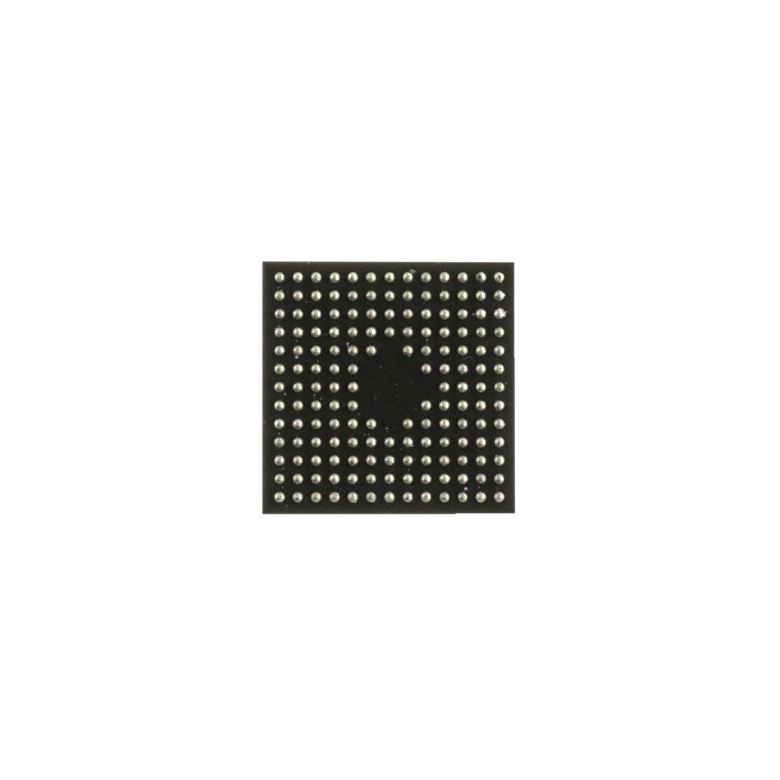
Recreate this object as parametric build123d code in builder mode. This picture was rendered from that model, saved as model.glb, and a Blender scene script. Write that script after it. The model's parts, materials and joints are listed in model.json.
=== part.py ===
from build123d import *
import math
import os

# A ball grid array integrated circuit, lying on its marked face with the solder balls up.
# All sizes are in millimetres. The origin is the centre of the marked face, +Z points
# towards the balls, and +Y is the side where ball row A is.

# Ball array
pitch = 0.65
grid_count = 13  # an odd number of rows and columns
ball_diameter = 0.37
seat_inset = 0.035  # the mask opening is this much smaller than the ball, each side
land_overlap = 0.04  # how far a copper land runs under the mask round its opening
bare_reach = 2  # the bare diamond at the centre, in steps of the pitch
kept_place = (-2, 0)  # the one corner of the diamond that still has a ball
row_letters = "abcdefghjklmnprtuvwy"

# Sawn body
edge_margin = 0.5925  # from the outermost ball centres to the sawn edge
array_shift_x = 0.028  # how far the saw missed the array's centre
array_shift_y = 0.018
bottom_step = 0.028  # where a second pass of the saw met the first one
bottom_step_place = 2.37
side_step = 0.014
side_step_place = 1.08
side_lean = 0.014
top_lean = 0.030

# Layers, from the marked face up to the balls
cap_height = 0.60
core_thickness = 0.16
copper_thickness = 0.018
mask_cover = 0.022  # solder mask over the copper
index_dot_diameter = 0.5
index_dot_depth = 0.02
index_dot_inset = 0.95

# Die and its adhesive film
die_side = 3.6
die_thickness = 0.25
film_thickness = 0.025

# Bond wires
wire_diameter = 0.025
bond_diameter = 0.05
bond_height = 0.015
loop_height = 0.12  # above the die
heel_height = 0.05  # above the finger
pad_inset = 0.07  # from the die's edge to its pads
pad_corner_gap = 0.15  # from the die's corner to the nearest pad

# Copper
via_diameter = 0.10
via_rim = 0.05  # copper round the via
neck_width = 0.10
track_width = 0.035
first_track_gap = 0.042  # between a via's copper and the nearest track
track_space = 0.045
finger_width = 0.05
finger_space = 0.055
finger_length = 0.16
window_gap = 0.04  # bare laminate round the fingers

# Worked out from the above
reach = grid_count // 2
ball_radius = ball_diameter / 2
seat_radius = ball_radius - seat_inset
ball_centre_rise = math.sqrt(ball_radius**2 - seat_radius**2)
land_radius = seat_radius + land_overlap
via_pad_radius = via_diameter / 2 + via_rim
body_side = 2 * reach * pitch + 2 * edge_margin
mask_thickness = copper_thickness + mask_cover

top_mask_level = cap_height
top_copper_level = top_mask_level + mask_cover
core_level = top_mask_level + mask_thickness
bottom_copper_level = core_level + core_thickness
seat_level = bottom_copper_level + copper_thickness
ball_face_level = bottom_copper_level + mask_thickness

die_back_level = cap_height - film_thickness
die_face_level = die_back_level - die_thickness
finger_row = (reach - 1) * pitch
finger_pitch = finger_width + finger_space
first_track_shift = via_pad_radius + first_track_gap + track_width / 2
track_pitch = track_width + track_space


def array_plane(level):
    """The plane of the ball array at one height: the saw cut left it off centre."""
    return Plane((array_shift_x, array_shift_y, level))


def has_ball(column, row):
    """True where a ball is fitted, counting columns and rows from the array's centre."""
    in_diamond = abs(column) + abs(row) <= bare_reach
    return not in_diamond or (column, row) == kept_place


def towards_centre(step):
    """The half step beside a ball on which its via lies."""
    return step - math.copysign(0.5, step)


steps = range(-reach, reach + 1)
ball_steps = [(column, row) for row in steps for column in steps if has_ball(column, row)]
via_balls = [(column, row) for column, row in ball_steps if column and row]
centre_line_balls = [(column, row) for column, row in ball_steps if not (column and row)]
via_places = [
    (towards_centre(column) * pitch, towards_centre(row) * pitch) for column, row in via_balls
]


def neck_locations(diagonal):
    """Midway between each ball and its via, for balls whose neck leans one way."""
    return [
        Location(((column + towards_centre(column)) * pitch / 2,
                  (row + towards_centre(row)) * pitch / 2), diagonal * 45)
        for column, row in via_balls
        if column * row * diagonal > 0
    ]


def tie_locations():
    """Midway between each ball on a centre line and the neighbour that it is tied to."""
    return [
        Location(((column + 0.5) * pitch, row * pitch), 0) if column == 0
        else Location((column * pitch, (row + 0.5) * pitch), 90)
        for column, row in centre_line_balls
    ]


def side_vias():
    """Level and step of each via whose track runs to the +Y side."""
    return [
        (level, step)
        for level in range(1, reach + 1)
        for step in range(1 - level, level)
        if has_ball(step + 1 if step >= 0 else step, level)
    ]


def finger_x(level, step):
    """Fingers stand in groups, one group for each column of vias."""
    return (step + 0.5) * pitch + (reach - 1 - level) * finger_pitch


# The outline that the saw left, shared by every layer
half = body_side / 2
with BuildSketch() as outline:
    with BuildLine():
        Polyline(
            (-half, -half),
            (bottom_step_place, -half),
            (bottom_step_place, -half + bottom_step),
            (half, -half + bottom_step),
            (half - side_lean, side_step_place),
            (half - side_lean - side_step, side_step_place),
            (half - side_lean - side_step, half - top_lean),
            (-half, half),
            close=True,
        )
    make_face()

# Tracks, via pads and fingers of one side, on the die's side of the core
with BuildSketch() as side_nets:
    for level, step in side_vias():
        via = ((step + 0.5) * pitch, (level - 0.5) * pitch)
        finger = (finger_x(level, step), finger_row)
        levels_out = reach - 1 - level
        if levels_out > 0:
            lane = via[0] + first_track_shift + (levels_out - 1) * track_pitch
            jog = lane - via[0]
            finger_end = finger_row - finger_length / 2
            bend = finger_end - abs(finger[0] - lane)
            route = [via, (lane, via[1] + jog), (lane, bend), (finger[0], finger_end), finger]
        elif levels_out == 0:
            route = [via, finger]
        else:
            finger_end = finger_row + finger_length / 2
            route = [via, (finger[0], finger_end), finger]
        with BuildLine():
            Polyline(*route)
        trace(line_width=track_width)
    with Locations(*[((step + 0.5) * pitch, (level - 0.5) * pitch) for level, step in side_vias()]):
        Circle(via_pad_radius)
    with Locations(*[(finger_x(level, step), finger_row) for level, step in side_vias()]):
        Rectangle(finger_width, finger_length)

# One window in the mask along the fingers of a side
finger_places = sorted(finger_x(level, step) for level, step in side_vias())
window_length = finger_places[-1] - finger_places[0] + finger_width + 2 * window_gap
window_middle = (finger_places[-1] + finger_places[0]) / 2
with BuildSketch() as side_window:
    with Locations((window_middle, finger_row)):
        Rectangle(window_length, finger_length + 2 * window_gap)

with BuildPart() as top_copper:
    with BuildSketch(array_plane(top_copper_level)):
        with PolarLocations(0, 4):
            add(side_nets.sketch)
    extrude(amount=copper_thickness)

# Copper plugs that carry each signal through the core
with BuildPart() as copper_vias:
    with BuildSketch(array_plane(core_level)):
        with Locations(*via_places):
            Circle(via_diameter / 2)
    extrude(amount=core_thickness)

with BuildPart() as laminate_core:
    with BuildSketch(Plane.XY.offset(core_level)):
        add(outline.sketch)
    extrude(amount=core_thickness)
    with BuildSketch(array_plane(core_level)):
        with Locations(*via_places):
            Circle(via_diameter / 2)
    extrude(amount=core_thickness, mode=Mode.SUBTRACT)

# Lands under the balls, each joined to its via by a neck
with BuildSketch() as land_pattern:
    with Locations(*[(column * pitch, row * pitch) for column, row in ball_steps]):
        Circle(land_radius)
    with Locations(*via_places):
        Circle(via_pad_radius)
    with Locations(*neck_locations(1), *neck_locations(-1)):
        Rectangle(pitch / math.sqrt(2), neck_width)
    with Locations(*tie_locations()):
        Rectangle(pitch, neck_width)

with BuildPart() as bottom_copper:
    with BuildSketch(array_plane(bottom_copper_level)):
        add(land_pattern.sketch)
    extrude(amount=copper_thickness)

# The solder mask fills between the copper and covers it, apart from the windows
with BuildPart() as top_solder_mask:
    with BuildSketch(Plane.XY.offset(top_mask_level)):
        add(outline.sketch)
    extrude(amount=mask_thickness)
    with BuildSketch(array_plane(top_mask_level)):
        with PolarLocations(0, 4):
            add(side_window.sketch)
    extrude(amount=mask_thickness, mode=Mode.SUBTRACT)
    add(top_copper.part, mode=Mode.SUBTRACT)

with BuildPart() as bottom_solder_mask:
    with BuildSketch(Plane.XY.offset(bottom_copper_level)):
        add(outline.sketch)
    extrude(amount=mask_thickness)
    with BuildSketch(array_plane(seat_level)):
        with Locations(*[(column * pitch, row * pitch) for column, row in ball_steps]):
            Circle(seat_radius)
    extrude(amount=mask_cover, mode=Mode.SUBTRACT)
    add(bottom_copper.part, mode=Mode.SUBTRACT)

with BuildPart() as die_attach_film:
    with BuildSketch(array_plane(die_back_level)):
        Rectangle(die_side, die_side)
    extrude(amount=film_thickness)

with BuildPart() as silicon_die:
    with BuildSketch(array_plane(die_face_level)):
        Rectangle(die_side, die_side)
    extrude(amount=die_thickness)

# Bond wires of the +Y side: a ball on the die, a flat loop, a slope and a foot on the finger
pad_row = die_side / 2 - pad_inset
pad_span = die_side - 2 * pad_corner_gap
pad_pitch = pad_span / (len(finger_places) - 1)
wire_base_level = die_face_level - bond_height
loop_level = die_face_level - loop_height
heel_level = top_copper_level - heel_height
with BuildPart() as side_wires:
    for count, finger in enumerate(finger_places):
        pad = (count * pad_pitch - pad_span / 2, pad_row)
        crest = ((pad[0] + finger) / 2, (pad_row + finger_row) / 2)
        with BuildLine():
            Polyline(
                (*pad, wire_base_level),
                (*pad, loop_level),
                (*crest, loop_level),
                (finger, finger_row, heel_level),
                (finger, finger_row, top_copper_level),
            )
        with BuildSketch(Plane((*pad, wire_base_level), z_dir=(0, 0, -1))):
            Circle(wire_diameter / 2)
        sweep(transition=Transition.RIGHT)
    with BuildSketch(Plane.XY.offset(die_face_level)):
        with Locations(*[(count * pad_pitch - pad_span / 2, pad_row)
                         for count in range(len(finger_places))]):
            Circle(bond_diameter / 2)
    extrude(amount=-bond_height)

side_turns = {"north": 0, "west": 90, "south": 180, "east": 270}
wire_groups = {}
for side, turn in side_turns.items():
    with BuildPart() as bond_wires:
        with Locations(Location((array_shift_x, array_shift_y, 0), turn)):
            add(side_wires.part)
    bond_wires.part.label = f"bond_wires_{side}"
    wire_groups[side] = bond_wires.part

# The moulding compound surrounds the die and the wires, and fills the mask's windows
with BuildPart() as mould_cap:
    with BuildSketch():
        add(outline.sketch)
    extrude(amount=cap_height)
    with BuildSketch(array_plane(cap_height)):
        with PolarLocations(0, 4):
            add(side_window.sketch)
    extrude(amount=mask_thickness)
    with BuildSketch(array_plane(die_face_level)):
        Rectangle(die_side, die_side)
    extrude(amount=die_thickness + film_thickness, mode=Mode.SUBTRACT)
    add(top_copper.part, mode=Mode.SUBTRACT)
    add(list(wire_groups.values()), mode=Mode.SUBTRACT)
    with BuildSketch(Plane((half - index_dot_inset, half - index_dot_inset, 0))):
        Circle(index_dot_diameter / 2)
    extrude(amount=index_dot_depth, mode=Mode.SUBTRACT)

# A solder ball, which fills its opening in the mask down to the land
tip_level = ball_face_level + ball_centre_rise + ball_radius
with BuildPart() as solder_ball:
    with BuildSketch(Plane.XZ):
        with BuildLine():
            Polyline(
                (0, tip_level),
                (0, seat_level),
                (seat_radius, seat_level),
                (seat_radius, ball_face_level),
            )
            ThreePointArc(
                (seat_radius, ball_face_level),
                (ball_radius, ball_face_level + ball_centre_rise),
                (0, tip_level),
            )
        make_face()
    revolve(axis=Axis.Z)

ball_rows = []
for count, letter in zip(range(grid_count), row_letters):
    row = reach - count
    places = [
        (array_shift_x + column * pitch, array_shift_y + row * pitch)
        for column in steps
        if has_ball(column, row)
    ]
    with BuildPart() as ball_row:
        with Locations(*places):
            add(solder_ball.part)
    ball_row.part.label = f"ball_row_{letter}"
    ball_rows.append(ball_row.part)

mould_cap.part.label = "mould_cap"
silicon_die.part.label = "silicon_die"
die_attach_film.part.label = "die_attach_film"
top_solder_mask.part.label = "top_solder_mask"
top_copper.part.label = "top_copper"
laminate_core.part.label = "laminate_core"
copper_vias.part.label = "copper_vias"
bottom_copper.part.label = "bottom_copper"
bottom_solder_mask.part.label = "bottom_solder_mask"

os.makedirs("parts", exist_ok=True)
for part in (
    mould_cap.part,
    silicon_die.part,
    die_attach_film.part,
    *wire_groups.values(),
    top_solder_mask.part,
    top_copper.part,
    laminate_core.part,
    copper_vias.part,
    bottom_copper.part,
    bottom_solder_mask.part,
    *ball_rows,
):
    export_step(part, f"parts/{part.label}.step")
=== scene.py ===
"""Looks of the ball grid array integrated circuit, ball side up, in metres."""

import json
import math

import bmesh
import bpy
import numpy as np
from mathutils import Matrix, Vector


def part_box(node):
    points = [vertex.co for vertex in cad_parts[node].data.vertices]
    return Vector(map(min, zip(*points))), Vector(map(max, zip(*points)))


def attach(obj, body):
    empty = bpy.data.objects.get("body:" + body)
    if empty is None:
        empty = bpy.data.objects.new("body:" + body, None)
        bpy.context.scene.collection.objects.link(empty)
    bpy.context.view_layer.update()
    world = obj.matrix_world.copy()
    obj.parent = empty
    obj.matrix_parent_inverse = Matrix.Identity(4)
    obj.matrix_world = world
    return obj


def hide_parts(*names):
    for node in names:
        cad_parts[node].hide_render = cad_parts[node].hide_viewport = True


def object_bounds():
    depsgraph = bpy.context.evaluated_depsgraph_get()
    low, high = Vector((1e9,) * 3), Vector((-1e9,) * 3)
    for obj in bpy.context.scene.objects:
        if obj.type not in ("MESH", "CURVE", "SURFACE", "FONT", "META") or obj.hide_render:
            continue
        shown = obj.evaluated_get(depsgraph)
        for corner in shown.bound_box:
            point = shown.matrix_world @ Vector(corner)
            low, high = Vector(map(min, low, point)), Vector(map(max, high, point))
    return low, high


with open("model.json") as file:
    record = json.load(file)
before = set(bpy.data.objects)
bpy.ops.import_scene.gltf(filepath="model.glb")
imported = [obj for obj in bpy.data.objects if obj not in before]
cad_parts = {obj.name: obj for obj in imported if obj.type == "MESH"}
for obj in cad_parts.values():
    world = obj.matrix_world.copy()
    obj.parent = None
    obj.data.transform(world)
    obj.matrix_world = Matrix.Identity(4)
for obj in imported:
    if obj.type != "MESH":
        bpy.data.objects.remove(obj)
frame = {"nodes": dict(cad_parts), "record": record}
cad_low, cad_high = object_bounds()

MM = 0.001
FULL_TURN = 6.28  # in radians, rounded, for waves that start anywhere
RIM_START = 0.012 * MM  # how far the sawn edge strays inside the part's box
# The mask's pale rims, nearest the edge first: how far in each reaches, and its strength. Their
# paleness is painted glare from the white ground round the part, with the sawn edge's own browner
# colour in the nearer two
RIMS_AND_GLARE = ((0.035 * MM, 0.95), (0.12 * MM, 0.42), (0.80 * MM, 0.16))

# Places and sizes that the frame gives
rows = sorted(name for name in frame["nodes"] if name.startswith("ball_row_"))
first_row_low, first_row_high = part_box(rows[0])
last_row_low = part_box(rows[-1])[0]
mask_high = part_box("bottom_solder_mask")[1]
grid_count = len(rows)
reach = grid_count // 2
pitch = (first_row_low.y - last_row_low.y) / (grid_count - 1)
ball_radius = (first_row_high.y - first_row_low.y) / 2
array_x = (first_row_low.x + first_row_high.x) / 2
array_y = (first_row_high.y + last_row_low.y) / 2
seat_level = first_row_low.z
face_level = mask_high.z
ball_centre_level = first_row_high.z - ball_radius
neck_radius = math.sqrt(ball_radius**2 - (ball_centre_level - face_level) ** 2)

# The bare diamond at the array's centre, in steps of the pitch
BARE_REACH = 2
KEPT_PLACE = (-2, 0)  # the one place on its corners that has a ball

# How the photograph's frame lies over the part
PHOTO_SIDE = 780
PHOTO_SCALE = 28.2 / MM  # pixels for each metre at the ball side
PHOTO_ORIGIN = (388.23, 387.24)  # the pixel where the part's origin shows
FRAME_MIDDLE = (PHOTO_SIDE - 1) / 2


def at_photo(x, y):
    """The point on the part's plane that a pixel of the photograph shows."""
    return ((x - PHOTO_ORIGIN[0]) / PHOTO_SCALE, (PHOTO_ORIGIN[1] - y) / PHOTO_SCALE)


def has_ball(column, row):
    """True where a ball is fitted, counting from the array's centre."""
    in_diamond = abs(column) + abs(row) <= BARE_REACH
    return not in_diamond or (column, row) == KEPT_PLACE


# Materials


def arithmetic(tree, operation, first, second):
    """One arithmetic step of a node tree, between two outputs or numbers."""
    node = tree.nodes.new("ShaderNodeMath")
    node.operation = operation
    for socket, value in zip(node.inputs, (first, second)):
        if isinstance(value, (int, float)):
            socket.default_value = value
        else:
            tree.links.new(value, socket)
    return node.outputs[0]


def color_sockets(sockets):
    """Those of a mix node's sockets that carry colour."""
    return [socket for socket in sockets if socket.type == "RGBA"]


class Nodes:
    """A material's node tree with short calls for the nodes that the finishes use."""

    def __init__(self, name, roughness, metallic=0.0, specular=0.5):
        self.material = bpy.data.materials.new(name)
        self.material.use_nodes = True
        self.tree = self.material.node_tree
        self.shader = self.tree.nodes["Principled BSDF"]
        self.shader.inputs["Metallic"].default_value = metallic
        self.shader.inputs["Roughness"].default_value = roughness
        self.shader.inputs["Specular IOR Level"].default_value = specular
        coordinates = self.tree.nodes.new("ShaderNodeTexCoord")
        self.place = coordinates.outputs["Object"]

    def link(self, output, socket):
        """Feeds an output to one of the shader's inputs."""
        self.tree.links.new(output, self.shader.inputs[socket])

    def noise(self, grain_mm, detail=3.0, roughness=0.5, stretch=(1, 1, 1)):
        """Noise whose features are about grain_mm across, longer where stretch is over 1."""
        place = self.tree.nodes.new("ShaderNodeVectorMath")
        place.operation = "MULTIPLY"
        place.inputs[1].default_value = [1 / (grain_mm * MM * s) for s in stretch]
        self.tree.links.new(self.place, place.inputs[0])
        noise = self.tree.nodes.new("ShaderNodeTexNoise")
        noise.inputs["Scale"].default_value = 1.0
        noise.inputs["Detail"].default_value = detail
        noise.inputs["Roughness"].default_value = roughness
        self.tree.links.new(place.outputs[0], noise.inputs["Vector"])
        return noise.outputs["Fac"]

    def ramp(self, value, stops):
        """Colours along a value: stops are (position, colour)."""
        ramp = self.tree.nodes.new("ShaderNodeValToRGB")
        elements = ramp.color_ramp.elements
        while len(elements) < len(stops):
            elements.new(0.5)
        for element, (position, color) in zip(elements, stops):
            element.position = position
            element.color = (*color, 1)
        self.tree.links.new(value, ramp.inputs["Fac"])
        return ramp.outputs["Color"]

    def spread(self, value, low, high, out_low, out_high):
        """Maps a value from one range to another, clamped."""
        node = self.tree.nodes.new("ShaderNodeMapRange")
        node.inputs["From Min"].default_value = low
        node.inputs["From Max"].default_value = high
        node.inputs["To Min"].default_value = out_low
        node.inputs["To Max"].default_value = out_high
        self.tree.links.new(value, node.inputs["Value"])
        return node.outputs["Result"]

    def math(self, operation, first, second):
        """One arithmetic step between two outputs or numbers."""
        return arithmetic(self.tree, operation, first, second)

    def product(self, *values):
        """Outputs or numbers multiplied together."""
        result = values[0]
        for value in values[1:]:
            result = self.math("MULTIPLY", result, value)
        return result

    def axes(self, vector):
        """The outputs X, Y and Z of a vector."""
        node = self.tree.nodes.new("ShaderNodeSeparateXYZ")
        self.tree.links.new(vector, node.inputs[0])
        return node.outputs

    def fading(self, distance, width, strength):
        """A strength that dies away with distance, over a width."""
        fall = self.math("POWER", math.e, self.math("DIVIDE", distance, -width))
        return self.math("MULTIPLY", fall, strength)

    def mix(self, amount, first, second, blend="MIX"):
        """Mixes two colours, each an output or a plain colour."""
        node = self.tree.nodes.new("ShaderNodeMix")
        node.data_type = "RGBA"
        node.blend_type = blend
        if isinstance(amount, (int, float)):
            node.inputs[0].default_value = amount
        else:
            self.tree.links.new(amount, node.inputs[0])
        for socket, value in zip(color_sockets(node.inputs), (first, second)):
            if isinstance(value, tuple):
                socket.default_value = (*value, 1)
            else:
                self.tree.links.new(value, socket)
        return color_sockets(node.outputs)[0]

    def attribute(self, name):
        """A value stored on the mesh."""
        node = self.tree.nodes.new("ShaderNodeAttribute")
        node.attribute_name = name
        return node.outputs["Fac"]

    def bump(self, height, depth_mm):
        """Fine relief of the surface."""
        node = self.tree.nodes.new("ShaderNodeBump")
        node.inputs["Strength"].default_value = 1.0
        node.inputs["Distance"].default_value = depth_mm * MM
        self.tree.links.new(height, node.inputs["Height"])
        self.link(node.outputs["Normal"], "Normal")


def solder_finish():
    """Dull tin alloy, warm grey, a little rosier, greener or darker from ball to ball."""
    nodes = Nodes("solder", roughness=0.45, metallic=1.0)
    tint = nodes.ramp(nodes.attribute("tint"), [
        (0.0, (0.79, 0.81, 0.60)),
        (0.5, (0.84, 0.83, 0.66)),
        (1.0, (0.87, 0.80, 0.66)),
    ])
    mottle = nodes.spread(nodes.noise(0.05, detail=4), 0.35, 0.65, 0.0, 1.0)
    color = nodes.mix(mottle, nodes.mix(0.7, (0.30, 0.30, 0.17), tint), tint)
    # The shade attribute darkens the colour per point: each ball's tone, residue and painted shade
    # in dents, and the painted dark reflection at the probe dent
    color = nodes.mix(1.0, color, nodes.attribute("shade"), blend="MULTIPLY")
    nodes.link(color, "Base Color")
    nodes.link(nodes.spread(nodes.noise(0.09), 0.3, 0.7, 0.35, 0.53), "Roughness")
    nodes.bump(nodes.noise(0.04, detail=4), 0.006)
    return nodes.material


def mask_finish():
    """Black solder mask, browner towards the sawn edge, and paler there with painted glare from
    the white ground round the part.
    """
    nodes = Nodes("solder_mask", roughness=0.42, specular=0.17)
    grain = nodes.noise(0.08, detail=5, roughness=0.7)
    speckle = nodes.spread(grain, 0.34, 0.66, 0.20, 1.80)
    cloud = nodes.spread(nodes.noise(0.45, detail=2), 0.34, 0.66, 0.82, 1.18)
    hue = nodes.ramp(nodes.noise(0.30, detail=2), [
        (0.36, (0.0084, 0.0151, 0.0084)),
        (0.50, (0.0132, 0.0138, 0.0098)),
        (0.64, (0.0182, 0.0128, 0.0136)),
    ])
    sheen = nodes.ramp(nodes.noise(0.20, detail=2), [
        (0.36, (1.02, 1.02, 0.25)),
        (0.64, (0.94, 0.95, 1.50)),
    ])
    hue = nodes.mix(1.0, hue, sheen, blend="MULTIPLY")
    dust = nodes.spread(nodes.noise(0.045, detail=1), 0.66, 0.76, 0.0, 0.8)
    hue = nodes.mix(dust, hue, (0.046, 0.043, 0.050))
    side = nodes.axes(nodes.place)
    across = nodes.math("ABSOLUTE", side["X"], 0)
    along = nodes.math("ABSOLUTE", side["Y"], 0)
    # The mask is darker in the bare middle than among the balls
    ball_field_level = nodes.spread(nodes.math("ADD", across, along), 2.2 * pitch, 3.2 * pitch, 0.62, 1.0)
    inward_x = nodes.math("SUBTRACT", cad_high.x, across)
    inward_y = nodes.math("SUBTRACT", cad_high.y, along)
    inward = nodes.math("MINIMUM", inward_x, inward_y)
    inward = nodes.math("MAXIMUM", nodes.math("SUBTRACT", inward, RIM_START), 0)
    near, middle, wide = (nodes.fading(inward, width, strength) for width, strength in RIMS_AND_GLARE)
    upper = nodes.spread(side["Y"], 0.8 * cad_high.y, cad_high.y, 0.0, 1.0)
    lower = nodes.spread(side["Y"], cad_low.y, 0.8 * cad_low.y, 0.55, 1.0)
    stretch_hue = nodes.ramp(nodes.noise(2.2, detail=1), [
        (0.42, (0.120, 0.120, 0.066)),
        (0.58, (0.142, 0.113, 0.068)),
    ])
    edge_hue = nodes.mix(upper, stretch_hue, (0.180, 0.118, 0.070))
    color = nodes.mix(1.0, hue, nodes.product(speckle, cloud, ball_field_level), blend="MULTIPLY")
    # Painted glare: the rims add paleness towards the edge, weaker towards the bottom, besides the
    # sawn edge's browner colour
    color = nodes.mix(nodes.product(near, lower), color, edge_hue, blend="ADD")
    color = nodes.mix(nodes.product(middle, lower), color, edge_hue, blend="ADD")
    color = nodes.mix(nodes.product(near, lower), color, (0, 0, 0.035), blend="ADD")
    color = nodes.mix(wide, color, (0.118, 0.113, 0.076), blend="ADD")
    nodes.link(color, "Base Color")
    nodes.link(nodes.spread(nodes.noise(0.12), 0.3, 0.7, 0.36, 0.5), "Roughness")
    nodes.bump(nodes.noise(0.07, detail=4), 0.0025)
    return nodes.material


def laminate_finish():
    """Sawn glass laminate: layers of resin and of pale fibre ends, seen from the side."""
    nodes = Nodes("laminate", roughness=0.7, specular=0.3)
    layers = nodes.noise(0.035, detail=2, stretch=(9, 9, 1))
    fibres = nodes.noise(0.012, detail=2)
    color = nodes.ramp(layers, [
        (0.35, (0.035, 0.030, 0.018)),
        (0.55, (0.085, 0.072, 0.045)),
        (0.75, (0.15, 0.135, 0.10)),
    ])
    nodes.link(nodes.mix(0.4, color, fibres, blend="MULTIPLY"), "Base Color")
    nodes.bump(nodes.noise(0.02, detail=3, stretch=(4, 4, 1)), 0.006)
    return nodes.material


def compound_finish():
    """Black epoxy moulding compound with fine filler grains."""
    nodes = Nodes("mould_compound", roughness=0.62, specular=0.35)
    grain = nodes.ramp(nodes.noise(0.03, detail=3, roughness=0.7), [
        (0.3, (0.012, 0.012, 0.0115)),
        (0.62, (0.02, 0.02, 0.019)),
        (0.8, (0.05, 0.05, 0.047)),
    ])
    facing = nodes.axes(nodes.tree.nodes.new("ShaderNodeNewGeometry").outputs["True Normal"])
    upright = nodes.math("LESS_THAN", nodes.math("ABSOLUTE", facing["Z"], 0), 0.5)
    marks = nodes.spread(nodes.noise(0.018, detail=3, stretch=(40, 40, 1)), 0.35, 0.65, 0.7, 1.5)
    marks = nodes.math("ADD", nodes.product(nodes.math("SUBTRACT", marks, 1), upright), 1)
    nodes.link(nodes.mix(1.0, grain, marks, blend="MULTIPLY"), "Base Color")
    nodes.link(nodes.spread(nodes.noise(0.2), 0.3, 0.7, 0.55, 0.72), "Roughness")
    relief = nodes.math("ADD", nodes.noise(0.025, detail=4), nodes.product(marks, 0.5))
    nodes.bump(relief, 0.004)
    return nodes.material


def plain_metal(name, color, roughness):
    """A metal for the inner pieces, with light mottling."""
    nodes = Nodes(name, roughness=roughness, metallic=1.0)
    darker = tuple(0.8 * part for part in color)
    nodes.link(nodes.ramp(nodes.noise(0.05), [(0.35, darker), (0.65, color)]), "Base Color")
    return nodes.material


def plain_solid(name, color, roughness):
    """A dull solid for the inner pieces, with light mottling."""
    nodes = Nodes(name, roughness=roughness)
    darker = tuple(0.75 * part for part in color)
    nodes.link(nodes.ramp(nodes.noise(0.1), [(0.35, darker), (0.65, color)]), "Base Color")
    return nodes.material


solder = solder_finish()
finishes = {
    "solder": solder,
    "solder_mask": mask_finish(),
    "laminate": laminate_finish(),
    "mould_compound": compound_finish(),
    "copper": plain_metal("copper", (0.80, 0.42, 0.26), 0.35),
    "bond_wire": plain_metal("bond_wire", (0.90, 0.66, 0.28), 0.2),
    "silicon": plain_solid("silicon", (0.11, 0.12, 0.14), 0.15),
    "adhesive_film": plain_solid("adhesive_film", (0.45, 0.33, 0.16), 0.5),
}
for part in frame["record"]["subparts"]:
    node = frame["nodes"][part["node"]]
    node.data.materials.clear()
    node.data.materials.append(finishes[part["material_slot"]])


def add_piece(name, vertices, faces, material, smooth=True):
    """A mesh piece that rides on the part."""
    mesh = bpy.data.meshes.new(name)
    mesh.from_pydata(vertices, [], faces)
    mesh.polygons.foreach_set("use_smooth", [smooth] * len(mesh.polygons))
    mesh.materials.append(material)
    mesh.update()
    piece = bpy.data.objects.new(name, mesh)
    bpy.context.scene.collection.objects.link(piece)
    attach(piece, "root")
    return piece


# Solder balls

SECTORS = 6  # ring k round the tip has this many points times k
TIP_RINGS = 15  # rings of triangles from the tip to the belt
BELT_RINGS = 9  # rings from the belt to the neck
BELT_ANGLE = math.radians(78)
neck_angle = math.pi - math.asin(neck_radius / ball_radius)


def ball_template():
    """Directions from a ball's centre, from tip to neck, and the faces of a ball with its foot."""
    belt = SECTORS * TIP_RINGS
    rings = [(0.0, 1)]
    rings += [(BELT_ANGLE * k / TIP_RINGS, SECTORS * k) for k in range(1, TIP_RINGS + 1)]
    rings += [(BELT_ANGLE + (neck_angle - BELT_ANGLE) * k / BELT_RINGS, belt)
              for k in range(1, BELT_RINGS + 1)]
    starts = np.cumsum([0] + [count for _, count in rings])
    directions = [
        (math.sin(polar) * math.cos(turn), math.sin(polar) * math.sin(turn), math.cos(polar))
        for polar, count in rings
        for turn in (2 * math.pi * j / count for j in range(count))
    ]
    faces = []
    for k in range(TIP_RINGS):
        inner, outer = max(SECTORS * k, 1), SECTORS * (k + 1)
        for sector in range(SECTORS):
            for i in range(k + 1):
                a = starts[k] + (sector * k + i) % inner
                b = starts[k + 1] + (sector * (k + 1) + i) % outer
                c = starts[k + 1] + (sector * (k + 1) + i + 1) % outer
                faces.append((a, b, c))
                if i < k:
                    faces.append((a, c, starts[k] + (sector * k + i + 1) % inner))
    for k in range(TIP_RINGS, TIP_RINGS + BELT_RINGS):
        for j in range(belt):
            upper, lower = starts[k], starts[k + 1]
            following = (j + 1) % belt
            faces.append((upper + j, lower + j, lower + following, upper + following))
    foot = len(directions)
    neck = foot - belt
    for j in range(belt):
        following = (j + 1) % belt
        faces.append((neck + j, foot + j, foot + following, neck + following))
    faces.append(tuple(reversed(range(foot, foot + belt))))
    return np.array(directions), faces, belt


directions, ball_faces, belt_count = ball_template()

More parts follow.
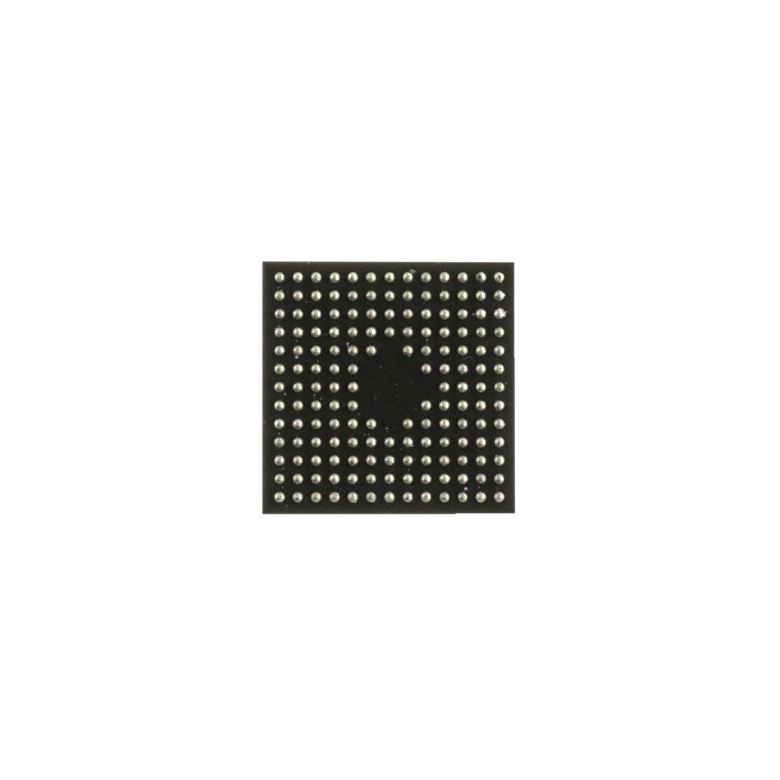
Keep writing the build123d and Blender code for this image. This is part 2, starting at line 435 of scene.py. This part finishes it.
# Depths and heights are shares of a ball's radius, and a pair is a range unless it says otherwise
BALL_SEED_STEP = 1000
PLACE_SCATTER = 0.003  # how far a ball strays from its place, in mm
SIZE_SCATTER = 0.02
WAVES, WAVE_HEIGHT, WAVE_TURNS = 3, 0.008, 2.2  # the slow swells of a ball's form
LIGHT_MARKS, HEAVY_MARKS = 3, 7  # one more than the most marks that a ball has
MARK_SPREAD = 24  # how far from the tip the marks lie, in degrees
DENT_SHARE = 0.5  # the share of the marks that are round dents, not scratches
SHALLOWEST_DENT, LIGHT_DENT, HEAVY_DENT = 0.03, 0.05, 0.08
PROBED_SHARE = 0.85  # the share of balls that a test probe left a dent on
PROBE_AZIMUTH, PROBE_POLAR = (235, 12), (25, 4)  # each a mean and a spread, in degrees
PROBE_WIDTH = (9, 13)
PROBE_DEPTH = 0.04
PROBE_PAINTED_REFLECTION = (0.50, 0.92)  # how much darker the probe dent's spot is: a painted dark reflection below and left of the tip
DENT_START, DENT_FULL = 0.04, 0.13  # where a mark starts to look dull, and where it is dullest
FACE_EDGE = 0.03  # how far in a pressed side lies where it is dullest
STAIN_EDGE = math.radians(12)  # how wide a stain's soft border is
# The first: how much darker deep dents are, partly residue and partly painted shade in the hollow
DENT_RESIDUE_AND_SHADE, LUMP_DULLING, FACE_DULLING, STAIN_DULLING = 0.85, 0.12, 0.40, 0.55
TINT_RANGE, SHADE_RANGE = (0.25, 0.75), (0.82, 1.09)
NECK_ZONE, NECK_RELIEF = -0.5, 0.2  # below this height, this share of the marks is left


def aim(azimuth, polar):
    """A direction: azimuth from the photograph's right, polar angle from straight up."""
    a, p = math.radians(azimuth), math.radians(polar)
    return np.array([math.sin(p) * math.cos(a), math.sin(p) * math.sin(a), math.cos(p)])


def bump_at(azimuth, polar, width, height):
    """A round bump, or a dent where height is negative, as a share of the ball's radius."""
    nearness = directions @ aim(azimuth, polar)
    angle = np.arccos(np.clip(nearness, -1, 1))
    return height * np.exp(-((angle / math.radians(width)) ** 2))


def groove_at(azimuth, polar, turn, length, width, depth):
    """A straight scratch or slot, turned about its own middle."""
    middle = aim(azimuth, polar)
    along = np.array([math.cos(math.radians(turn)), math.sin(math.radians(turn)), 0.0])
    along = along - (along @ middle) * middle
    along /= np.linalg.norm(along)
    across = np.cross(middle, along)
    near = (directions @ middle) > 0
    run = (directions @ along) / math.sin(math.radians(length))
    side = (directions @ across) / math.sin(math.radians(width))
    return -depth * np.exp(-(run**4) - side**2) * near


def ring_at(azimuth, polar, opening, width, depth):
    """The round mark that a test socket's crown leaves."""
    angle = np.arccos(np.clip(directions @ aim(azimuth, polar), -1, 1))
    return -depth * np.exp(-(((angle - math.radians(opening)) / math.radians(width)) ** 2))


def facet(azimuth, polar, distance):
    """How far a flat face stands in from the sphere, as a share of the radius."""
    along = np.maximum(directions @ aim(azimuth, polar), 1e-3)
    return np.minimum(distance / along - 1, 0)


# What stands out on single balls: (row from the photograph's top, column from its left)
SPECIAL = {
    (0, 0): lambda: groove_at(0, 5, 80, 22, 6, 0.05),
    (0, 1): lambda: groove_at(90, 12, 90, 26, 7, 0.06),
    (0, 3): lambda: bump_at(230, 24, 9, -0.10),
    (0, 9): lambda: bump_at(200, 12, 7, -0.10),
    (0, 11): lambda: groove_at(190, 10, 95, 26, 8, 0.20),
    (0, 12): lambda: groove_at(0, 3, 95, 24, 12, 0.30) + bump_at(-72, 88, 14, 0.16),
    (1, 0): lambda: bump_at(72, 84, 11, 0.20),
    (1, 10): lambda: bump_at(185, 22, 8, -0.12),
    (1, 12): lambda: (bump_at(8, 84, 15, 0.22) + bump_at(82, 80, 20, 0.08)
                      + bump_at(186, 86, 10, 0.12) + bump_at(240, 30, 22, -0.12)),
    (2, 12): lambda: (bump_at(84, 76, 16, 0.18) + bump_at(50, 80, 18, 0.22)
                      + bump_at(14, 86, 13, 0.46) + bump_at(-14, 88, 14, 0.36)
                      + groove_at(30, 70, 20, 22, 5, 0.10)),
    (3, 0): lambda: bump_at(135, 88, 8, 0.18),
    (3, 7): lambda: bump_at(62, 86, 9, 0.22),
    (4, 1): lambda: bump_at(254, 92, 15, 0.22),
    (4, 2): lambda: bump_at(180, 88, 13, 0.20),
    (4, 3): lambda: bump_at(232, 24, 11, -0.14),
    (4, 7): lambda: bump_at(282, 80, 12, 0.28),
    (5, 10): lambda: groove_at(245, 6, 62, 26, 7, 0.12),
    (5, 11): lambda: bump_at(-88, 88, 9, 0.16),
    (5, 12): lambda: bump_at(0, 18, 9, -0.12),
    (6, 12): lambda: bump_at(72, 26, 9, -0.14) + bump_at(262, 28, 9, -0.14),
    (8, 12): lambda: bump_at(-4, 90, 9, 0.24),
    (9, 7): lambda: bump_at(-40, 92, 12, 0.32),
    (10, 6): lambda: bump_at(218, 26, 9, -0.14),
    (10, 12): lambda: bump_at(122, 86, 9, 0.26) + bump_at(60, 86, 8, 0.12),
    (11, 1): lambda: bump_at(255, 30, 11, -0.12),
    (11, 9): lambda: bump_at(-6, 84, 34, 0.15),
    (12, 3): lambda: bump_at(42, 34, 10, -0.14) + bump_at(42, 84, 16, 0.08),
    (12, 4): lambda: bump_at(-66, 88, 13, 0.22),
    (12, 5): lambda: bump_at(-58, 86, 18, 0.14),
    (12, 6): lambda: groove_at(-80, 42, 10, 30, 8, 0.14),
    (12, 11): lambda: groove_at(-45, 50, 30, 24, 7, 0.14),
}
# Balls with a side that something pressed flat: where it faces and how far out it stands
FLATTENED = {(0, 9): (118, 44, 0.86), (0, 11): (190, 24, 0.84), (12, 11): (-42, 58, 0.88)}
# Balls with a tarnished side: where it faces and how far round it reaches
STAINED = {(0, 11): (188, 80, 84), (2, 12): (25, 85, 50)}
# Balls whose socket marks are deep
MARKED = {(0, 2), (0, 5), (0, 8), (0, 10), (1, 5), (1, 8), (1, 10), (3, 8), (3, 10), (4, 3),
          (4, 8), (4, 10), (5, 4), (5, 12), (6, 12), (7, 3), (8, 8), (9, 0), (9, 7), (9, 8),
          (10, 6), (11, 1), (11, 11), (12, 0), (12, 1), (12, 2), (12, 3), (12, 5), (12, 6),
          (12, 8), (12, 9), (12, 12)}
PINKISH = {(1, 2), (2, 0), (2, 7), (2, 9), (2, 11), (3, 7), (3, 9), (4, 4), (5, 9), (6, 4), (6, 9),
           (7, 1), (9, 5), (9, 10), (9, 11), (10, 5), (10, 9), (12, 7), (12, 11)}
GREENISH = {(0, 5), (0, 6), (1, 3), (1, 10), (3, 10), (4, 10), (5, 12), (6, 12), (8, 10), (12, 2),
            (12, 6), (12, 10)}


def ball_marks(row, column, chance):
    """Dents and lumps over the ball's round form, as a share of the radius."""
    relief = np.zeros(len(directions))
    heavy = (row, column) in MARKED
    deepest = HEAVY_DENT if heavy else LIGHT_DENT
    for _ in range(chance.integers(1, HEAVY_MARKS if heavy else LIGHT_MARKS)):
        azimuth, polar = chance.uniform(0, 360), abs(chance.normal(0, MARK_SPREAD))
        if chance.random() < DENT_SHARE:
            relief += bump_at(azimuth, polar, chance.uniform(5, 9),
                              -chance.uniform(SHALLOWEST_DENT, deepest))
        else:
            relief += groove_at(azimuth, polar, chance.uniform(0, 180), chance.uniform(9, 20),
                                chance.uniform(4, 6), chance.uniform(0.02, 0.06))
    if heavy:
        relief += ring_at(chance.uniform(0, 360), chance.uniform(0, 14), chance.uniform(18, 30),
                          6, chance.uniform(0.04, 0.08))
    if (row, column) in SPECIAL:
        relief += SPECIAL[row, column]()
    return relief


def probe_dent(row, column, chance):
    """The small dent that a test probe left below and left of the tip, 1 at its middle; it also
    places the painted dark reflection there.
    """
    dent = bump_at(chance.normal(*PROBE_AZIMUTH), chance.normal(*PROBE_POLAR),
                   chance.uniform(*PROBE_WIDTH), 1.0)
    is_probed = (row, column) not in SPECIAL and chance.random() < PROBED_SHARE
    return dent * is_probed


def ball_form(row, column, chance):
    """Distance of each point of the unmarked ball from its centre, as a share of the radius."""
    form = 1 + SIZE_SCATTER * chance.uniform(-1, 1)
    form += sum(
        WAVE_HEIGHT * np.sin(directions @ chance.normal(0, WAVE_TURNS, 3)
                             + chance.uniform(0, FULL_TURN))
        for _ in range(WAVES)
    )
    if (row, column) in FLATTENED:
        form += facet(*FLATTENED[row, column])
    return form


def soiling_and_shade(row, column, relief):
    """How bright the metal's colour is: dark in deep dents, partly from residue and partly painted
    shade in the hollow, and duller on lumps and pressed sides.
    """
    in_dent = np.clip((-relief - DENT_START) / (DENT_FULL - DENT_START), 0, 1)
    on_lump = np.clip((relief - DENT_START) / (DENT_FULL - DENT_START), 0, 1)
    # Deep dents: partly residue, partly painted shade in the hollow
    brightness = (1 - DENT_RESIDUE_AND_SHADE * in_dent) * (1 - LUMP_DULLING * on_lump)
    if (row, column) in FLATTENED:
        on_face = np.clip(-facet(*FLATTENED[row, column]) / FACE_EDGE, 0, 1)
        brightness *= 1 - FACE_DULLING * on_face
    if (row, column) in STAINED:
        azimuth, polar, reach_round = STAINED[row, column]
        angle = np.arccos(np.clip(directions @ aim(azimuth, polar), -1, 1))
        in_stain = np.clip((math.radians(reach_round) - angle) / STAIN_EDGE, 0, 1)
        brightness *= 1 - STAIN_DULLING * in_stain
    return brightness


# How far the outermost balls sit inwards of their lands
PULL_LEFT, PULL_RIGHT = 0.007 * MM, 0.021 * MM
PULL_TOP, PULL_BOTTOM = 0.014 * MM, 0.010 * MM


def pull(steps, at_low_end, at_high_end):
    """A ball's shift towards the array's middle, which grows towards the array's ends."""
    share = steps / reach
    return -at_high_end * share**3 if share > 0 else -at_low_end * share**3


def make_ball(row, column):
    """One ball down to its land: its points, the tint, and how bright each point is."""
    chance = np.random.default_rng(BALL_SEED_STEP * row + column)
    right, up = column - reach, reach - row
    land = np.array([array_x + right * pitch, array_y + up * pitch, ball_centre_level])
    shift = np.array([
        pull(right, PULL_LEFT, PULL_RIGHT) + chance.normal(0, PLACE_SCATTER) * MM,
        pull(up, PULL_BOTTOM, PULL_TOP) + chance.normal(0, PLACE_SCATTER) * MM,
        0,
    ])
    form = ball_form(row, column, chance)
    relief = ball_marks(row, column, chance)
    probed = probe_dent(row, column, chance)
    share = form + relief - PROBE_DEPTH * probed
    share = np.where(directions[:, 2] < NECK_ZONE, 1 + (share - 1) * NECK_RELIEF, share)
    points = land + shift + directions * (share * ball_radius)[:, None]
    points[:, 2] = np.maximum(points[:, 2], face_level)
    foot = points[-belt_count:] - shift
    foot[:, 2] = seat_level
    tint = chance.uniform(*TINT_RANGE)
    if (row, column) in PINKISH:
        tint = 1.0
    elif (row, column) in GREENISH:
        tint = 0.0
    shade = chance.uniform(*SHADE_RANGE) * soiling_and_shade(row, column, relief)
    # Painted dark reflection: the probe dent's spot is darkened in colour, standing in for the
    # dark reflection below and left of the tip
    shade *= 1 - chance.uniform(*PROBE_PAINTED_REFLECTION) * probed
    return np.vstack([points, foot]), tint, np.append(shade, shade[-belt_count:])


def add_ball_row(row, node):
    """All balls of one row as one piece, each closed down to its land."""
    vertices, faces, tints, shades = [], [], [], []
    for column in range(grid_count):
        if not has_ball(column - reach, reach - row):
            continue
        points, tint, shade = make_ball(row, column)
        faces += [tuple(len(vertices) + int(i) for i in face) for face in ball_faces]
        vertices += points.tolist()
        tints += [tint] * len(points)
        shades += shade.tolist()
    piece = add_piece(node.replace("ball_row", "solder_balls"), vertices, faces, solder)
    piece.data.attributes.new("tint", "FLOAT", "POINT").data.foreach_set("value", tints)
    piece.data.attributes.new("shade", "FLOAT", "POINT").data.foreach_set("value", shades)
    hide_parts(node)


for row, node in enumerate(rows):
    add_ball_row(row, node)


# Dust and lint on the mask, at the pixels where the photograph shows them

FINE, SMALL, MIDDLE, WIDE, LARGE = 0.030 * MM, 0.040 * MM, 0.054 * MM, 0.064 * MM, 0.084 * MM
DUST_SPECKS = {
    "beside_ball_e5_upper": (347.3, 343.3, LARGE),
    "beside_ball_e5_lower": (347.4, 346.0, MIDDLE),
    "below_row_b_left": (306.3, 301.8, SMALL),
    "below_row_b_right": (309.6, 301.8, FINE),
    "above_row_b": (277.9, 287.1, SMALL),
    "left_lanes_first": (317.4, 360.7, SMALL),
    "left_lanes_second": (296.0, 340.4, SMALL),
    "left_lanes_third": (278.6, 325.6, SMALL),
    "left_lanes_fourth": (284.4, 393.6, WIDE),
    "left_lanes_fifth": (314.1, 394.5, MIDDLE),
    "left_lanes_sixth": (320.4, 398.3, MIDDLE),
    "left_lanes_seventh": (278.4, 433.4, MIDDLE),
    "left_lanes_eighth": (282.4, 468.0, SMALL),
    "left_lanes_ninth": (282.1, 487.0, SMALL),
    "right_lanes_first": (473.2, 313.9, LARGE),
    "right_lanes_second": (426.5, 339.4, MIDDLE),
    "right_lanes_third": (426.7, 343.3, FINE),
    "right_lanes_fourth": (505.4, 383.1, SMALL),
    "right_lanes_fifth": (413.8, 458.9, SMALL),
    "right_lanes_sixth": (400.6, 448.3, FINE),
    "right_lanes_seventh": (478.5, 486.9, SMALL),
    "right_lanes_eighth": (496.4, 488.4, FINE),
    "bare_middle_first": (380.1, 366.2, FINE),
    "bare_middle_second": (395.9, 384.2, FINE),
    "bare_middle_third": (415.1, 408.6, FINE),
    "bare_middle_fourth": (386.5, 428.1, MIDDLE),
    "bare_middle_fifth": (387.3, 431.2, FINE),
    "bare_middle_sixth": (367.9, 434.1, SMALL),
    "bare_middle_seventh": (364.3, 434.1, FINE),
    "bare_middle_eighth": (358.4, 413.4, FINE),
    "bottom_edge": (286.7, 505.2, SMALL),
    "top_edge_chip": (308.2, 263.2, MIDDLE),
    "left_edge_chip": (263.6, 421.8, MIDDLE),
}
BRIGHT_GRAINS = {  # grains painted near-white, standing in for the glint of small shiny solder beads, the second stuck to a ball's foot
    "right_lanes": (465.3, 488.3, 0.086 * MM),
    "below_ball_e2": (296.2, 356.4, 0.105 * MM),
}
SMUDGES = {  # a thin greasy trace: its pixel, width and length
    "bare_middle_long": (374.8, 397.6, 0.09 * MM, 0.17 * MM),
    "bare_middle_faint": (410.2, 381.6, 0.05 * MM, 0.12 * MM),
    "bare_middle_round": (397.0, 395.9, 0.08 * MM, 0.08 * MM),
}
FIBRES = {  # the pixels that a fibre passes through
    "brown_hair": [(321.9, 334.3), (324.2, 334.5), (326.6, 333.7), (329.2, 331.4)],
    "arched_hair": [(461.8, 357.4), (463.9, 358.4), (466.0, 357.6), (468.3, 356.1), (470.3, 356.6),
                    (471.6, 358.4)],
    "short_hair_right": [(487.0, 341.4), (486.1, 343.4), (485.4, 345.6)],
    "short_hair_left": [(341.8, 405.6), (344.0, 404.2), (346.2, 403.6)],
    "short_hair_low": [(408.5, 467.6), (408.0, 469.6), (408.3, 471.6)],
    "edge_scratch": [(432.2, 266.2), (434.2, 264.4), (436.8, 263.3), (440.2, 263.8)],
    "splash_streak": [(504.6, 310.0), (506.9, 311.1), (509.2, 312.2)],
}
FLAKE_OUTLINE = [(408.8, 270.8), (409.9, 269.1), (412.4, 268.9), (415.8, 270.6), (414.6, 271.5),
                 (412.9, 273.1), (410.9, 272.5)]
BLOB_SEED = 7
SUNK = 0.15  # the share of a speck's height that lies in the mask's roughness
SPECK_WAVES, SPECK_WAVE_HEIGHT = 3, 0.22  # how uneven a speck's outline is
SPECK_HEIGHT, GRAIN_HEIGHT = 0.6, 0.7  # as shares of the width
SMUDGE_HEIGHT = 0.003 * MM
FIBRE_RADIUS = 0.013 * MM
FIBRE_LIFT = 0.02 * MM
FIBRE_SEAT = 0.7  # how high a fibre's middle lies over the mask, as a share of its radius
FIBRE_SIDES = 8
FLAKE_THICKNESS = 0.01 * MM
FLAKE_SLOPE = 0.25


def dull_finish(name, color):
    """A matte powdery surface."""
    nodes = Nodes(name, roughness=0.9, specular=0.2)
    darker = tuple(0.7 * part for part in color)
    nodes.link(nodes.ramp(nodes.noise(0.02), [(0.35, darker), (0.65, color)]), "Base Color")
    return nodes.material


def speck_template():
    """Points and triangles of a small round speck of radius one."""
    builder = bmesh.new()
    bmesh.ops.create_icosphere(builder, subdivisions=2, radius=1.0)
    points = np.array([vertex.co[:] for vertex in builder.verts])
    faces = [[vertex.index for vertex in face.verts] for face in builder.faces]
    builder.free()
    return points, faces


def add_blobs(name, blobs, material):
    """Flattened lumps on the mask as one piece: each a pixel, width, length and height."""
    points, triangles = speck_template()
    chance = np.random.default_rng(BLOB_SEED)
    vertices, faces = [], []
    for pixel, width, length, height in blobs:
        x, y = at_photo(*pixel)
        wave = np.sin(points @ chance.normal(0, SPECK_WAVES, 3) + chance.uniform(0, FULL_TURN))
        rough = 1 + SPECK_WAVE_HEIGHT * wave
        size = np.array([width / 2, length / 2, height / 2])
        shape = points * rough[:, None] * size + (x, y, face_level + height * (0.5 - SUNK))
        faces += [tuple(len(vertices) + i for i in triangle) for triangle in triangles]
        vertices += shape.tolist()
    return add_piece(name, vertices, faces, material)


def smooth_path(knots, steps=6):
    """Points along a smooth curve through the knots."""
    knots = np.array(knots)
    knots = np.array([2 * knots[0] - knots[1], *knots, 2 * knots[-1] - knots[-2]])
    path = []
    for before, start, end, after in zip(knots, knots[1:], knots[2:], knots[3:]):
        for t in np.linspace(0, 1, steps, endpoint=False):
            path.append(0.5 * (2 * start + (end - before) * t
                               + (2 * before - 5 * start + 4 * end - after) * t**2
                               + (3 * start - before - 3 * end + after) * t**3))
    return np.array([*path, knots[-2]])


def add_fibre(name, pixels, material):
    """A hair lying on the mask, its middle lifted off it a little."""
    level = face_level + FIBRE_SEAT * FIBRE_RADIUS
    path = smooth_path([(*at_photo(*pixel), level) for pixel in pixels])
    path[:, 2] += FIBRE_LIFT * np.sin(np.linspace(0, math.pi, len(path)))
    tangents = np.gradient(path, axis=0)
    tangents /= np.linalg.norm(tangents, axis=1)[:, None]
    aside = np.cross(tangents, (0, 0, 1))
    aside /= np.linalg.norm(aside, axis=1)[:, None]
    above = np.cross(aside, tangents)
    sides = FIBRE_SIDES
    turns = 2 * math.pi * np.arange(sides) / sides
    vertices = [
        (place + FIBRE_RADIUS * (math.cos(turn) * out + math.sin(turn) * up)).tolist()
        for place, out, up in zip(path, aside, above)
        for turn in turns
    ]
    faces = [
        (k * sides + j, k * sides + (j + 1) % sides, (k + 1) * sides + (j + 1) % sides,
         (k + 1) * sides + j)
        for k in range(len(path) - 1)
        for j in range(sides)
    ]
    faces.append(tuple(reversed(range(sides))))
    faces.append(tuple(range(len(vertices) - sides, len(vertices))))
    return add_piece(name, vertices, faces, material)


def add_flake(material):
    """A thin grey chip that leans against a ball of the top row."""
    outline = [at_photo(*pixel) for pixel in FLAKE_OUTLINE]
    nearest = min(y for _, y in outline)
    levels = [face_level + FLAKE_SLOPE * (y - nearest) for _, y in outline]
    count = len(outline)
    vertices = [(x, y, level + rise) for rise in (0, FLAKE_THICKNESS)
                for (x, y), level in zip(outline, levels)]
    faces = [tuple(range(count)), tuple(reversed(range(count, 2 * count)))]
    faces += [(j, j + count, (j + 1) % count + count, (j + 1) % count) for j in range(count)]
    return add_piece("grey_flake", vertices, faces, material, smooth=False)


dust = dull_finish("dust", (0.52, 0.52, 0.49))
specks = [((x, y), size, size, SPECK_HEIGHT * size) for x, y, size in DUST_SPECKS.values()]
add_blobs("dust_specks", specks, dust)
grains = [((x, y), size, size, GRAIN_HEIGHT * size) for x, y, size in BRIGHT_GRAINS.values()]
# Painted highlight: matte near-white grains stand in for glinting beads
add_blobs("bright_grains", grains, dull_finish("bright_grain", (0.95, 0.95, 0.90)))
smudges = [((x, y), width, length, SMUDGE_HEIGHT) for x, y, width, length in SMUDGES.values()]
add_blobs("smudges", smudges, dull_finish("smudge", (0.048, 0.047, 0.042)))
lint = dull_finish("lint", (0.18, 0.18, 0.18))
brown_lint = dull_finish("brown_lint", (0.25, 0.20, 0.17))
fibre_finishes = {"brown_hair": brown_lint, "edge_scratch": brown_lint}
for name, pixels in FIBRES.items():
    add_fibre(name, pixels, fibre_finishes.get(name, lint))
add_flake(dull_finish("flake", (0.32, 0.33, 0.30)))


# Floor, light and camera

FLOOR_SIDE = 0.8
FLOOR_GAP = 0.005 * MM
FLOOR_COLOR = (0.8, 0.8, 0.8, 1)
FLOOR_GLOW = 0.92  # with the light that the floor gets, this makes it white
OPENING_INSET = 0.1 * MM  # how far inside the part's outline the floor's opening ends
WORLD_LEVEL = 0.055
WORLD_COLOR = (1, 0.98, 0.75, 1)
WHITE = (1, 1, 1, 1)
CAMERA_DISTANCE = 0.15
SENSOR = 36.0
FILTER_WIDTH = 2.0  # in pixels: the photograph is a little soft
SOFTBOXES = {  # azimuth, elevation, distance, width, height, radiance
    "right_light": (11, 18, 0.20, 0.42, 0.18, 2.65),
    "left_light": (162, 12, 0.20, 0.25, 0.18, 2.2),
    "top_light": (84, 24, 0.20, 0.26, 0.12, 0.90),
    "overhead_light": (5, 83, 0.22, 0.20, 0.26, 0.57),
    "lower_light": (-38, 38, 0.22, 0.24, 0.20, 0.38),
    "under_light": (40, -55, 0.20, 0.24, 0.24, 4.0),
}


def ground_finish():
    """A floor that shows white to the camera and in reflections, and keeps the part's shadow."""
    material = bpy.data.materials.new("white_ground")
    material.use_nodes = True
    tree = material.node_tree
    tree.nodes.clear()
    output = tree.nodes.new("ShaderNodeOutputMaterial")
    paths = tree.nodes.new("ShaderNodeLightPath").outputs
    seen = arithmetic(tree, "MAXIMUM", paths["Is Camera Ray"], paths["Is Glossy Ray"])
    seen = arithmetic(tree, "MAXIMUM", seen, paths["Is Transmission Ray"])
    strength = arithmetic(tree, "MULTIPLY", seen, FLOOR_GLOW)
    glow = tree.nodes.new("ShaderNodeEmission")
    glow.inputs["Color"].default_value = WHITE
    tree.links.new(strength, glow.inputs["Strength"])
    matte = tree.nodes.new("ShaderNodeBsdfDiffuse")
    matte.inputs["Color"].default_value = FLOOR_COLOR
    both = tree.nodes.new("ShaderNodeAddShader")
    tree.links.new(glow.outputs[0], both.inputs[0])
    tree.links.new(matte.outputs[0], both.inputs[1])
    tree.links.new(both.outputs[0], output.inputs["Surface"])
    return material


def add_floor():
    """White ground, with an opening under the part so that its marked face shows from below."""
    corners = [(-1, -1), (1, -1), (1, 1), (-1, 1)]
    level = cad_low.z - FLOOR_GAP
    vertices = [(FLOOR_SIDE / 2 * x, FLOOR_SIDE / 2 * y, level) for x, y in corners]
    vertices += [((cad_high.x - OPENING_INSET) * x, (cad_high.y - OPENING_INSET) * y, level)
                 for x, y in corners]
    mesh = bpy.data.meshes.new("floor")
    mesh.from_pydata(vertices, [], [(j, (j + 1) % 4, (j + 1) % 4 + 4, j + 4) for j in range(4)])
    floor = bpy.data.objects.new("floor", mesh)
    bpy.context.scene.collection.objects.link(floor)
    floor.data.materials.append(ground_finish())


def add_softbox(name, azimuth, elevation, distance, width, height, radiance):
    """A rectangular light aimed at the part. Azimuth runs from the photograph's right."""
    a, e = math.radians(azimuth), math.radians(elevation)
    back = Vector((math.cos(e) * math.cos(a), math.cos(e) * math.sin(a), math.sin(e)))
    lamp = bpy.data.lights.new(name, "AREA")
    lamp.shape = "RECTANGLE"
    lamp.size, lamp.size_y = width, height
    lamp.energy = radiance * math.pi * width * height
    holder = bpy.data.objects.new(name, lamp)
    holder.location = back * distance
    holder.rotation_euler = back.to_track_quat("Z", "Y").to_euler()
    bpy.context.scene.collection.objects.link(holder)


def add_world(level):
    """Even dim light from all round, and a plain white background for the camera."""
    world = bpy.data.worlds.new("studio")
    bpy.context.scene.world = world
    world.use_nodes = True
    tree = world.node_tree
    background = tree.nodes["Background"]
    is_camera = tree.nodes.new("ShaderNodeLightPath").outputs["Is Camera Ray"]
    hue = tree.nodes.new("ShaderNodeMix")
    hue.data_type = "RGBA"
    for socket, color in zip(color_sockets(hue.inputs), (WORLD_COLOR, WHITE)):
        socket.default_value = color
    tree.links.new(is_camera, hue.inputs[0])
    tree.links.new(color_sockets(hue.outputs)[0], background.inputs["Color"])
    strength = tree.nodes.new("ShaderNodeMapRange")
    strength.inputs["To Min"].default_value = level
    strength.inputs["To Max"].default_value = 1.0
    tree.links.new(is_camera, strength.inputs["Value"])
    tree.links.new(strength.outputs["Result"], background.inputs["Strength"])


def add_camera():
    """Straight above the ball side, framed as the photograph is."""
    x, y = at_photo(FRAME_MIDDLE, FRAME_MIDDLE)
    width = PHOTO_SIDE / PHOTO_SCALE
    camera = bpy.data.cameras.new("camera")
    camera.sensor_width = SENSOR
    camera.lens = SENSOR * CAMERA_DISTANCE / width
    camera.clip_start = 0.01
    camera.clip_end = 10
    holder = bpy.data.objects.new("camera", camera)
    holder.location = (x, y, face_level + CAMERA_DISTANCE)
    bpy.context.scene.collection.objects.link(holder)
    bpy.context.scene.camera = holder


add_floor()
for name, settings in SOFTBOXES.items():
    add_softbox(name, *settings)
add_world(WORLD_LEVEL)
add_camera()
bpy.context.scene.view_settings.view_transform = "Standard"
bpy.context.scene.cycles.filter_width = FILTER_WIDTH
